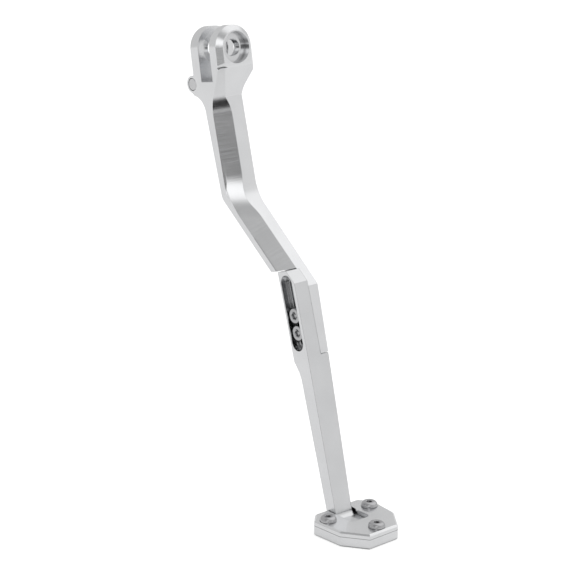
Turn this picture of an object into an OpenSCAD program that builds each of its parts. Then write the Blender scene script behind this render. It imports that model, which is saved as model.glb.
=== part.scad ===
// Adjustable side stand for a motorbike, with an enlarged foot.
// The origin is the middle of the pivot bore, half way across the clevis gap.
// The leg lies in the X-Z plane: its front face looks along -Y, and it runs
// down and away towards +X, to a foot that is symmetric about that plane.

/* [Pivot clevis] */
// Diameter of the pivot bore
bore_d = 10; // [8:0.5:12]
// Diameter of the counterbore for the pivot bolt head
counterbore_d = 18; // [16:0.5:18.5]
// Depth of that counterbore
counterbore_depth = 4; // [2:0.5:5]
// Width of the gap that takes the frame tang
gap_w = 10.6; // [8:0.2:12]
// How far the gap runs below the pivot axis
gap_depth = 17.9; // [15:0.1:19]
// Thickness of the ear on the spring side
spring_ear_t = 7; // [6:0.5:8]
// Thickness of the ear on the bolt head side
bolt_ear_t = 8.9; // [8:0.1:10]
// Lean of the clevis away from upright
clevis_lean = 9.7; // [8:0.1:11]
// Chamfer round the bolt side ear
ear_chamfer = 3; // [2:0.1:3.2]
// Diameter of the shallow seat for a thrust washer inside the spring side ear
washer_seat_d = 18; // [14:0.5:20]

/* [Upper leg] */
// Radius of the ears, and how far the front face stands ahead of the pivot axis
ear_r = 12.8; // [12.8:0.1:14]
// Depth of the leg bar, front to back
bar_depth = 17.3; // [16:0.1:18]
// Length of the left edge, from below the spring lug to the bend
upper_run = 50.3; // [46:0.1:56]
// Length of the left edge, from the bend to the shoulder
slant_run = 55; // [50:0.1:60]
// Lean of the upper stretch at its left edge
upper_lean = 16.6; // [15:0.1:18]
// Lean of the upper stretch at its right edge
upper_right_lean = 14.2; // [13:0.1:15]
// Lean of the slanting stretch
slant_lean = 52.7; // [50:0.1:55]
// Width of the slanting stretch
slant_w = 10.6; // [10:0.1:12]
// Radius of the inside of the bend
bend_r = 12; // [8:0.5:16]
// Width of the big chamfer, across the front face
chamfer_w = 7; // [6:0.1:7.5]
// Depth of the big chamfer, back from the front face
chamfer_d = 8.5; // [7:0.1:9]
// Slope of the ramp that ends the big chamfer below the ear
runout_angle = 26; // [20:1:32]
// Radius that joins the ramp to the big chamfer
runout_r = 28; // [20:1:32]
// Diameter of the spring post
post_d = 7.4; // [6:0.2:8]

/* [Length adjuster] */
// Lean of the lower leg
lower_lean = 16.5; // [15:0.1:18]
// Thickness of the lower leg in front of the lap
lap_t = 9.55; // [9:0.05:10]
// Length of the tongue behind the lap
tongue_l = 49.1; // [48:0.1:50]
// Width of the lower leg's head
head_w = 12.8; // [12.4:0.1:13]
// Length of the pocket that takes the screw heads
pocket_l = 43.1; // [40:0.1:43.5]
// Width of that pocket
pocket_w = 9.4; // [9:0.1:9.6]
// Depth of that pocket
pocket_depth = 4.5; // [4.2:0.1:5]
// Width of the slot through the pocket floor
slot_w = 5.6; // [5.4:0.1:6]
// Distance between the two clamp screws
clamp_pitch = 9.9; // [9.2:0.1:11]

/* [Lower leg] */
// Depth of the leg at the foot
root_depth = 12; // [11.5:0.1:12.4]
// Radius that joins the leg to its flange
root_fillet = 3.2; // [2:0.2:4]

/* [Foot] */
// Length of the foot, along the lean of the leg
foot_l = 40.2; // [39:0.1:44]
// Half the greatest width of the foot
foot_half_w = 21.8; // [21:0.1:24]
// Thickness of the plate that clamps the flange
top_plate_t = 3; // [2.5:0.1:4]
// Thickness of the ground plate
base_plate_t = 6.1; // [5.5:0.1:8]
// Width of the notch that the leg stands in
notch_w = 13.6; // [13.2:0.1:15]
// Length of that notch
notch_l = 21.4; // [19:0.1:23]
// Diameter of the foot screws' heads
foot_head_d = 9.5; // [9:0.1:10]

/* [Hidden] */
$fn = 96;

front_y = -ear_r;
back_y = front_y + bar_depth;
lap_y = front_y + lap_t;
lap_gap = 0.06;
end_gap = 0.35;
far = 60;
leg_reach = 300;
// Arcs run this much past tangent, so that their ends cross what they blend into
overrun = 0.002;

// Clevis: its sides, where they end below the pivot, and the taper behind it
spring_side = -gap_w / 2 - spring_ear_t;
bolt_side = gap_w / 2 + bolt_ear_t;
spring_side_foot = -14;
bolt_side_foot = -15.5;
ear_chamfer_foot = -30;
washer_seat_depth = 0.8;
taper_top = [back_y, -23.9];
taper_angle = 32.4;
taper_blend_r = 14;

// The spring lug, and the hollow that joins it to the leg's left edge
lug_c = [-10.9, -21.2];
lug_r = 4.9;
lug_hollow_c = [-8.7, -38.2];
lug_hollow_r = 10.6;
lug_under = lug_c + [-2, -3.93];

// Left edge of the leg: below the lug, at the bend and at the shoulder
edge_top = lug_hollow_c + lug_hollow_r * right_of(upper_lean);
bend_left = edge_top + upper_run * along(upper_lean);
bend_left_r = 7;
shoulder = bend_left + slant_run * along(slant_lean);

// Right edge of the leg: top of the upper stretch, and the corner at the bend
right_top = [12.6, -25.4];
slant_right = shoulder + slant_w * right_of(slant_lean);
bend_right = meet(right_top, upper_right_lean, slant_right, slant_lean);
bend_c = meet(right_top + bend_r * right_of(upper_right_lean), upper_right_lean,
    slant_right + bend_r * right_of(slant_lean), slant_lean);
runout_start = 6.6;

// The lower leg's own frame starts at the shoulder's left end
head_left = 5.8;
head_right = head_left + head_w;
lap_lean = slant_lean - lower_lean;
bevel_top = slant_w / cos(lap_lean);
bevel_foot = (head_right * cos(lap_lean) - slant_w) / sin(lap_lean);
pocket_n = 11.7;
pocket_top = 2.6;
pocket_foot = pocket_top + pocket_l;
clamp_first = 25.8;
step_top = 51.9;
step_foot = 61.8;
stem_left = 9.3;
root_s = 137;
stem_left_foot = 9.9;
stem_right_foot = 17.4;
thin_start = [back_y, 48];
thin_corner = [back_y - 0.9, -8];
thin_end = 135;
thin_y = front_y + root_depth;

// The foot's frame is level, and starts at the middle of its back edge
foot_x = 108.5;
foot_y = -6.3;
seam_z = -247.9;
foot_bevel = 1;
foot_corner_r = 1.5;
flange_back = 0.15;
flange_t = 3;
flange_l = 27;
flange_half_w = 11;
flange_clear = 0.05;
foot_outline = [[0, -15.5], [6.5, -foot_half_w], [26.3, -20.3], [foot_l, -10.4],
    [foot_l, 10.4], [26.3, 20.3], [6.5, foot_half_w], [0, 15.5]];
foot_screws = [[11, -15.4], [11, 15.4], [34, 0]];

// Screws
shank_r = 2.45;
tap_r = 2.5;
clearance_r = 2.65;
seat_gap = 0.02;
clamp_head_r = 4.25;
clamp_head_t = 3.5;
clamp_hex = 4;
clamp_shank_l = 10.5;
foot_head_t = 2.75;
foot_hex = 3;
foot_shank_l = 7.3;
socket_depth = 1.9;

// Direction down the leg, and to its right, for a lean away from upright
function along(lean) = [sin(lean), -cos(lean)];
function right_of(lean) = [cos(lean), sin(lean)];

// Where two leaning lines cross
function meet(p, lean_p, q, lean_q) =
    let (d = q - p, u = along(lean_p), w = right_of(lean_q))
    p + (d * w) / (u * w) * u;

// A point of the clevis, from its place across the gap and up the ears
function clevis(across, up) =
    across * right_of(clevis_lean) - up * along(clevis_lean);

// A point of the lower leg's frame, from its place across and down the leg
function in_lower(across, down) =
    shoulder + across * right_of(lower_lean) + down * along(lower_lean);

// A profile drawn in the X-Z plane, made solid from y0 to y1
module solid_y(y0, y1) {
    translate([0, y1, 0]) rotate([90, 0, 0]) linear_extrude(y1 - y0) children();
}

// A profile drawn in the Y-Z plane, made solid from x0 to x1
module solid_x(x0, x1) {
    translate([x0, 0, 0]) rotate([90, 0, 90]) linear_extrude(x1 - x0) children();
}

// The frame that leans with a stretch of the leg, from a point of its edge
module leaning(at, lean) {
    translate([at[0], 0, at[1]]) rotate([0, -lean, 0]) children();
}

module clevis_frame() {
    leaning([0, 0], clevis_lean) children();
}

module lower_frame() {
    leaning(shoulder, lower_lean) children();
}

module foot_frame() {
    translate([foot_x, foot_y, seam_z]) children();
}

// What lies between corner b and an arc that blends its sides towards a and c.
// It is added in a hollow corner, and taken from a sharp one.
module corner_piece(a, b, c, r) {
    u = (a - b) / norm(a - b);
    w = (c - b) / norm(c - b);
    half = acos(u * w) / 2;
    arc_c = b + r / sin(half) * (u + w) / norm(u + w);
    out_u = (b + r / tan(half) * u - arc_c) / r;
    out_w = (b + r / tan(half) * w - arc_c) / r;
    past = r + 1;
    difference() {
        polygon([arc_c, arc_c + past * out_u, b + (b - arc_c) / r,
            arc_c + past * out_w]);
        translate(arc_c) circle(r + overrun);
    }
}

// Stock of the clevis, the lug, the bar and the tongue behind the lap
module leg_stock() {
    tongue_left = head_left + 0.3;
    solid_y(front_y, ear_r) difference() {
        polygon([clevis(spring_side, ear_r + 1), clevis(bolt_side, ear_r + 1),
            clevis(bolt_side, bolt_side_foot), right_top, bend_right,
            in_lower(head_right, bevel_foot), in_lower(head_right, tongue_l),
            in_lower(tongue_left, tongue_l),
            in_lower(tongue_left, tongue_left / tan(lap_lean)), bend_left,
            edge_top, lug_hollow_c, lug_hollow_c + [0, lug_hollow_r],
            lug_under, lug_c, clevis(spring_side, spring_side_foot)]);
        translate(lug_hollow_c) circle(lug_hollow_r + overrun);
        corner_piece(edge_top, bend_left, shoulder, bend_left_r);
    }
    solid_y(front_y, ear_r) translate(lug_c) circle(lug_r);
    solid_y(front_y, ear_r) corner_piece(right_top, bend_right, slant_right, bend_r);
}

// Stock above the pivot that lies outside the round ears
module above_ears() {
    clevis_frame() solid_x(-far, far) difference() {
        translate([-far, 0]) square([2 * far, far]);
        circle(ear_r + overrun);
    }
}

// Stock behind the clevis, whose back tapers into the bar with a blend
module behind_clevis() {
    taper_end = taper_top + far * [sin(taper_angle), cos(taper_angle)];
    clevis_frame() solid_x(-leg_reach, leg_reach) difference() {
        polygon([taper_top - [0, leg_reach], taper_top, taper_end,
            [leg_reach, taper_end[1]], [leg_reach, -leg_reach]]);
        corner_piece(taper_top - [0, far], taper_top, taper_end, taper_blend_r);
    }
}

// Stock behind the bar and the lower leg, which thin towards the foot
module behind_leg() {
    lower_frame() solid_x(-far, far)
        polygon([thin_start + 0.3 * (thin_start - thin_corner), thin_corner,
            [thin_y, -thin_end], [thin_y, -leg_reach], [far, -leg_reach],
            [far, thin_start[1]]]);
}

// The frame whose X-Z plane is the big chamfer, along one stretch of the edge
module chamfer_frame(at, lean) {
    leaning(at, lean) translate([0, front_y + chamfer_d, 0])
        rotate([0, 0, atan2(chamfer_d, chamfer_w)]) children();
}

// The big chamfer: a ramp below the ear, round the bend and down to the shoulder
module big_chamfer() {
    over = 2;
    bend_top = bend_c - bend_r * right_of(upper_right_lean);
    bend_foot = bend_c - bend_r * right_of(slant_lean);
    upper_l = norm(bend_top - right_top);
    ramp_foot = [0, runout_r * tan(runout_angle / 2) - runout_start];
    ramp_end = ramp_foot + far * [-sin(runout_angle), cos(runout_angle)];
    chamfer_frame(right_top, upper_right_lean) solid_x(-far / 2, far / 2) difference() {
        polygon([[0, -upper_l], ramp_foot, ramp_end, [-far, ramp_end[1]],
            [-far, -upper_l]]);
        corner_piece([0, -far], ramp_foot, ramp_end, runout_r);
    }
    chamfer_frame(bend_foot, slant_lean) translate([-far / 2, -far, -far - 10])
        cube([far, far, far + 10]);
    translate([bend_c[0], front_y - over, bend_c[1]]) rotate([-90, 0, 0])
        cylinder(h = chamfer_d + 2 * over,
            r1 = bend_r + overrun + chamfer_w * (1 + over / chamfer_d),
            r2 = bend_r + overrun - chamfer_w * over / chamfer_d);
}

// The bolt side ear's outer edge is chamfered over the top and down both sides
module ear_edge_cut() {
    inner = bolt_side - ear_chamfer;
    over = 1;
    clevis_frame() {
        translate([inner - over, 0, 0]) rotate([0, 90, 0]) difference() {
            cylinder(h = ear_chamfer + 2 * over, r = ear_r + 5);
            cylinder(h = ear_chamfer + 2 * over, r1 = ear_r + overrun + over,
                r2 = ear_r + overrun - ear_chamfer - over);
            translate([0, -far, -1]) cube([far, 2 * far, ear_chamfer + 4]);
        }
        for (side = [-1, 1])
            translate([0, 0, ear_chamfer_foot]) linear_extrude(0.3 - ear_chamfer_foot)
                polygon([[inner - over, side * (ear_r + over)],
                    [bolt_side + over, side * (ear_r - ear_chamfer - over)],
                    [bolt_side + over, side * (ear_r + 5)],
                    [inner - over, side * (ear_r + 5)]]);
    }
}

module upper_leg() {
    color("gainsboro") difference() {
        leg_stock();
        above_ears();
        behind_clevis();
        behind_leg();
        big_chamfer();
        ear_edge_cut();
        lower_frame() translate([-far, front_y - 1, -far])
            cube([2 * far, lap_t + 1, far]);
        clevis_frame() {
            translate([-gap_w / 2, -far, -gap_depth]) cube([gap_w, 2 * far, far]);
            rotate([0, 90, 0]) cylinder(h = far, d = bore_d, center = true);
            translate([bolt_side - counterbore_depth, 0, 0]) rotate([0, 90, 0])
                cylinder(h = far, d = counterbore_d);
            translate([-gap_w / 2 - washer_seat_depth, 0, 0]) rotate([0, 90, 0])
                cylinder(h = gap_w / 2, d = washer_seat_d);
        }
        translate([lug_c[0], 0, lug_c[1]]) rotate([90, 0, 0])
            cylinder(h = far, d = post_d + 2 * seat_gap, center = true);
        lower_frame() for (i = [0, 1])
            translate([pocket_n, 0, -clamp_first - i * clamp_pitch])
                rotate([90, 0, 0]) cylinder(h = far, r = tap_r, center = true);
    }
}

// The post that the return spring hooks on, with a neck for the spring's eye
module spring_post() {
    r = post_d / 2;
    neck_r = r - 1.2;
    edge = 0.45;
    groove = bar_depth + 6;
    end = bar_depth + 13;
    color("silver") translate([lug_c[0], front_y, lug_c[1]]) rotate([-90, 0, 0])
        rotate_extrude() polygon([[0, 0], [r - edge, 0], [r, edge], [r, groove],
            [neck_r, groove + 1], [neck_r, groove + 4], [r, groove + 5],
            [r, end - edge], [r - edge, end], [0, end]]);
}

// A hexagon socket, sunk from z = 0, by its width across flats
module hex_socket(flats) {
    translate([0, 0, -socket_depth])
        cylinder(h = socket_depth + 0.1, d = flats / cos(30), $fn = 6);
}

// A low cap screw of the length adjuster, head up along +Z, with its seat at z = 0
module cap_screw() {
    edge = 0.35;
    difference() {
        union() {
            rotate_extrude() polygon([[0, 0], [clamp_head_r, 0],
                [clamp_head_r, clamp_head_t - edge],
                [clamp_head_r - edge, clamp_head_t], [0, clamp_head_t]]);
            translate([0, 0, -clamp_shank_l])
                cylinder(h = clamp_shank_l + 0.5, r = shank_r);
        }
        translate([0, 0, clamp_head_t]) hex_socket(clamp_hex);
    }
}

// A domed screw of the foot, head up along +Z, with its seat at z = 0
module button_screw() {
    head_r = foot_head_d / 2;
    rim = 0.5;
    flat_r = 2.6;
    dome_z = (head_r ^ 2 - flat_r ^ 2 + rim ^ 2 - foot_head_t ^ 2)
        / (2 * (rim - foot_head_t));
    difference() {
        union() {
            rotate_extrude() intersection() {
                translate([0, dome_z]) circle(norm([flat_r, foot_head_t - dome_z]));
                square([head_r, foot_head_t]);
            }
            translate([0, 0, -foot_shank_l])
                cylinder(h = foot_shank_l + 0.2, r = shank_r);
        }
        translate([0, 0, foot_head_t]) hex_socket(foot_hex);
    }
}

module clamp_screw(i) {
    color("silver") lower_frame()
        translate([pocket_n, front_y + pocket_depth - seat_gap,
            -clamp_first - i * clamp_pitch])
            rotate([90, 0, 0]) cap_screw();
}

module clamp_screw_upper() { clamp_screw(0); }

module clamp_screw_lower() { clamp_screw(1); }

// A slot with round ends, from one length along the leg to another
module slot_outline(width, top, foot) {
    r = width / 2;
    translate([pocket_n, -top - r]) circle(r);
    translate([pocket_n, -foot + r]) circle(r);
    translate([pocket_n - r, -foot + r]) square([width, foot - top - width]);
}

// Front outline of the lower leg, down to its flange
module stem_outline() {
    left_foot = in_lower(stem_left_foot, root_s);
    right_foot = in_lower(stem_right_foot, root_s);
    under = [0, seam_z - 1];
    root_corner = meet([0, seam_z], 90, right_foot, lower_lean);
    polygon([in_lower(head_left, end_gap), in_lower(head_left, step_top),
        in_lower(head_left + 0.7, step_top + 1.2),
        in_lower(stem_left - 0.9, step_foot - 4.2), in_lower(stem_left, step_foot),
        left_foot, meet(under, 90, left_foot, lower_lean),
        meet(under, 90, right_foot, lower_lean), right_foot,
        in_lower(head_right, pocket_foot), in_lower(head_right, bevel_foot),
        in_lower(bevel_top + end_gap * tan(lap_lean), end_gap)]);
    corner_piece(right_foot, root_corner, root_corner + [far, 0], root_fillet);
}

module lower_leg() {
    lip = (pocket_w - slot_w) / 2;
    lap_foot = tongue_l + end_gap;
    color("gainsboro") {
        difference() {
            solid_y(front_y, back_y) stem_outline();
            behind_leg();
            lower_frame() {
                translate([-far, lap_y - lap_gap, -lap_foot])
                    cube([2 * far, far, 2 * far]);
                solid_y(front_y - 1, front_y + pocket_depth)
                    slot_outline(pocket_w, pocket_top, pocket_foot);
                solid_y(front_y - 1, lap_y + 1)
                    slot_outline(slot_w, pocket_top + lip, pocket_foot - lip);
            }
        }
        foot_frame() translate([flange_back, -flange_half_w, -flange_t])
            cube([flange_l - flange_back, 2 * flange_half_w, flange_t]);
    }
}

// A level plate of the foot, bevelled round its upper or its lower edge
module foot_plate(z0, z1, bevel_up) {
    n = len(foot_outline);
    edge_z = bevel_up > 0 ? z1 : z0;
    reach = 6;
    difference() {
        translate([0, 0, z0]) linear_extrude(z1 - z0) difference() {
            polygon(foot_outline);
            for (i = [0 : n - 1])
                corner_piece(foot_outline[(i + n - 1) % n], foot_outline[i],
                    foot_outline[(i + 1) % n], foot_corner_r);
        }
        for (i = [0 : n - 1]) {
            a = foot_outline[i];
            run = foot_outline[(i + 1) % n] - a;
            translate([a[0], a[1], edge_z]) rotate([0, 0, atan2(run[1], run[0])])
                solid_x(-far, far) polygon([[-reach, -bevel_up * (foot_bevel + reach)],
                    [foot_bevel + 1, bevel_up], [-reach, bevel_up]]);
        }
    }
}

// The notch, open at the back edge, with rounded inner corners
module notch_outline() {
    r = 2.5;
    half = notch_w / 2;
    translate([-5, -half]) square([notch_l + 5 - r, notch_w]);
    translate([-5, -half + r]) square([notch_l + 5, notch_w - 2 * r]);
    for (side = [-1, 1]) translate([notch_l - r, side * (half - r)]) circle(r);
}

module foot_top_plate() {
    color("gainsboro") foot_frame() difference() {
        foot_plate(seat_gap, top_plate_t, 1);
        translate([0, 0, -1]) linear_extrude(top_plate_t + 2) notch_outline();
        for (p = foot_screws) translate([p[0], p[1], -1])
            cylinder(h = top_plate_t + 2, r = clearance_r);
    }
}

module foot_base_plate() {
    pocket_half = flange_half_w + flange_clear;
    color("gainsboro") foot_frame() difference() {
        foot_plate(-base_plate_t, 0, -1);
        translate([-5, -pocket_half, -flange_t - flange_clear])
            cube([flange_l + 5 + flange_clear, 2 * pocket_half, flange_t + 1]);
        for (p = foot_screws) translate([p[0], p[1], -base_plate_t + 1])
            cylinder(h = base_plate_t, r = tap_r);
    }
}

module foot_screw(i) {
    color("silver") foot_frame()
        translate([foot_screws[i][0], foot_screws[i][1], top_plate_t + seat_gap])
            button_screw();
}

module foot_screw_left() { foot_screw(0); }

module foot_screw_right() { foot_screw(1); }

module foot_screw_front() { foot_screw(2); }

upper_leg();
spring_post();
clamp_screw_upper();
clamp_screw_lower();
lower_leg();
foot_top_plate();
foot_base_plate();
foot_screw_left();
foot_screw_right();
foot_screw_front();
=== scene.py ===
"""Studio scene of an adjustable motorbike side stand with an enlarged foot.

The spring post, the lower leg and the foot plates are the machined solids of the
frame, dressed in metal.  The upper leg starts as the frame's solid and is finished
here, where its ear, its slanting bar and the blends of its big chamfer are cut.
The screws are turned here, with sockets, rounded heads and threads.  The finished
leg and the screws stand in for the plainer solids.
"""

import logging
import math
from dataclasses import dataclass
from enum import Enum
from typing import Callable, Sequence

import bmesh
import bpy
from mathutils import Matrix, Vector


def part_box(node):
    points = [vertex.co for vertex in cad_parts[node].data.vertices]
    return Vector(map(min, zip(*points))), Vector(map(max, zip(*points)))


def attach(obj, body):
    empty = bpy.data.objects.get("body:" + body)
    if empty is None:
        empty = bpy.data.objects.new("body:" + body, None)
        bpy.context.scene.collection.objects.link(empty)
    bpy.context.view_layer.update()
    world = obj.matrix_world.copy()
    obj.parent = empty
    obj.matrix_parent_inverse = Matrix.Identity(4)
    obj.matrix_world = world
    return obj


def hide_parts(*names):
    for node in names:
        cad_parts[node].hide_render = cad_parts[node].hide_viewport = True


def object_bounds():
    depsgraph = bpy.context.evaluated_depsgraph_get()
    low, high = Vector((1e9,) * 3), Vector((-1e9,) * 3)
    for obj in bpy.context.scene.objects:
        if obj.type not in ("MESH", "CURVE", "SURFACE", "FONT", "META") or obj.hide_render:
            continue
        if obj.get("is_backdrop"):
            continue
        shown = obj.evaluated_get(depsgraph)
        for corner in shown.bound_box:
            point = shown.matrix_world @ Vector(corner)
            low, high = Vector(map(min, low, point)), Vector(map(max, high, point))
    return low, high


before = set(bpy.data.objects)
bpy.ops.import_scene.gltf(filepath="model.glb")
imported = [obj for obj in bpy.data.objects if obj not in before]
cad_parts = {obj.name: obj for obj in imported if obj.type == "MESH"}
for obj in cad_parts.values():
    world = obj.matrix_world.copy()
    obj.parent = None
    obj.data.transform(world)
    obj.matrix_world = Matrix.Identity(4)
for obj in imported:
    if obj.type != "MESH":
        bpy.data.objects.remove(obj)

LOG = logging.getLogger("side_stand")
MM = 0.001
Colour = tuple[float, float, float]
Number = float | bpy.types.NodeSocket


class Body(Enum):
    """The bodies of the frame that pieces ride on."""

    UPPER = "upper"
    LOWER = "lower"


class Slot(Enum):
    """Names of the record's material slots; no piece here takes its finish from them."""

    SCREW = "screw_steel"
    LEG = "leg_aluminium"


class Facing(Enum):
    """The ways that flat faces and the heads of screws look."""

    FRONT = (0.0, -1.0, 0.0)
    UP = (0.0, 0.0, 1.0)

    def axis(self) -> Vector:
        """The direction as a vector."""
        return Vector(self.value)


class Operation(Enum):
    """What a prism does to a solid."""

    CUT = "DIFFERENCE"
    FILL = "UNION"


def lean_right(lean: float) -> Vector:
    """The direction square to a stretch of the leg, on its right side.

    Args:
        lean: How far the stretch leans away from upright, in degrees.

    Returns:
        A unit vector in the X-Z plane.
    """
    a = math.radians(lean)
    return Vector((math.cos(a), 0.0, math.sin(a)))


def lean_down(lean: float) -> Vector:
    """The direction down a stretch of the leg.

    Args:
        lean: How far the stretch leans away from upright, in degrees.

    Returns:
        A unit vector in the X-Z plane.
    """
    a = math.radians(lean)
    return Vector((math.sin(a), 0.0, -math.cos(a)))


def backwards(distance: float) -> Vector:
    """A step from the front towards the back of the stand."""
    return Vector((0.0, distance, 0.0))


def bent_path(start: Vector, corner: Vector, end: Vector, radius: float,
              steps: int = 24) -> list[Vector]:
    """A line that runs straight, round a corner and straight again.

    Args:
        start: Where the line starts.
        corner: The corner that is rounded.
        end: Where the line ends.
        radius: The radius of the arc at the corner.
        steps: How many pieces the arc has.

    Returns:
        The line's points, from start to end.
    """
    back, on = (start - corner).normalized(), (end - corner).normalized()
    half = math.acos(back.dot(on)) / 2
    centre = corner + radius / math.sin(half) * (back + on).normalized()
    first = (corner + radius / math.tan(half) * back - centre).normalized()
    last = (corner + radius / math.tan(half) * on - centre).normalized()
    turn = math.acos(first.dot(last))
    path = [start]
    for i in range(steps + 1):
        share = i / steps
        path.append(centre + radius / math.sin(turn) * (
            math.sin((1 - share) * turn) * first + math.sin(share * turn) * last))
    return [*path, end]


class Solid:
    """A closed mesh that prisms are cut from or joined to."""

    merge_distance: float = 0.0005 * MM

    def __init__(self, name: str, mesh: bpy.types.Mesh) -> None:
        """Starts from a mesh.

        Args:
            name: The finished piece's name.
            mesh: The stock, which is copied.
        """
        self.piece = bpy.data.objects.new(name, mesh.copy())
        self.piece.data.name = name
        kept_normals = self.piece.data.attributes.get("custom_normal")
        if kept_normals:
            self.piece.data.attributes.remove(kept_normals)
        bpy.context.scene.collection.objects.link(self.piece)

    @staticmethod
    def prism(ring: Sequence[Vector], run: Vector) -> bpy.types.Mesh:
        """A straight prism.

        Args:
            ring: The corners of one of its ends.
            run: From that end to the other.

        Returns:
            The prism's mesh.
        """
        mesh = bmesh.new()
        near = [mesh.verts.new(point) for point in ring]
        away = [mesh.verts.new(point + run) for point in ring]
        mesh.faces.new(near)
        mesh.faces.new(away[::-1])
        for i in range(len(ring)):
            j = (i + 1) % len(ring)
            mesh.faces.new((near[j], near[i], away[i], away[j]))
        bmesh.ops.recalc_face_normals(mesh, faces=mesh.faces)
        data = bpy.data.meshes.new("tool")
        mesh.to_mesh(data)
        mesh.free()
        return data

    def work(self, operation: Operation, ring: Sequence[Vector], start: Vector,
             run: Vector) -> None:
        """Cuts away or adds a straight prism.

        Args:
            operation: Whether it is cut away or added.
            ring: The outline of the prism.
            start: From the outline to the prism's near end.
            run: From the prism's near end to its far end.
        """
        data = self.prism([start + point for point in ring], run)
        tool = bpy.data.objects.new("tool", data)
        bpy.context.scene.collection.objects.link(tool)
        step = self.piece.modifiers.new("step", "BOOLEAN")
        step.operation, step.solver, step.object = operation.value, "EXACT", tool
        shaped = bpy.data.meshes.new_from_object(
            self.piece.evaluated_get(bpy.context.evaluated_depsgraph_get()))
        self.piece.modifiers.clear()
        worn, self.piece.data = self.piece.data, shaped
        bpy.data.meshes.remove(worn)
        bpy.data.objects.remove(tool)
        bpy.data.meshes.remove(data)

    def open_edges(self) -> int:
        """Counts the edges that don't join exactly two faces.

        Returns:
            How many there are, which is 0 for a closed mesh.
        """
        uses: dict[int, int] = {}
        for loop in self.piece.data.loops:
            uses[loop.edge_index] = uses.get(loop.edge_index, 0) + 1
        return sum(count != 2 for count in uses.values())

    def settle(self, sharp: float) -> bpy.types.Object:
        """Cleans the mesh and marks its sharp edges.

        Args:
            sharp: The angle from which an edge is sharp, in degrees.

        Returns:
            The finished piece.
        """
        mesh = bmesh.new()
        mesh.from_mesh(self.piece.data)
        bmesh.ops.remove_doubles(mesh, verts=mesh.verts, dist=self.merge_distance)
        bmesh.ops.dissolve_degenerate(mesh, edges=mesh.edges,
                                      dist=self.merge_distance)
        shade_smooth(mesh, sharp)
        mesh.to_mesh(self.piece.data)
        mesh.free()
        level = self.piece.modifiers.new("level_faces", "WEIGHTED_NORMAL")
        level.mode, level.weight, level.keep_sharp = "FACE_AREA", 100, True
        LOG.info("%s: %d open edges", self.piece.name, self.open_edges())
        return self.piece


def shade_smooth(mesh: bmesh.types.BMesh, sharp: float) -> None:
    """Shades a mesh smooth, apart from its sharp edges.

    Args:
        mesh: The mesh.
        sharp: The angle from which an edge is sharp, in degrees.
    """
    for face in mesh.faces:
        face.smooth = True
    for edge in mesh.edges:
        edge.smooth = edge.calc_face_angle(0.0) < math.radians(sharp)


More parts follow.
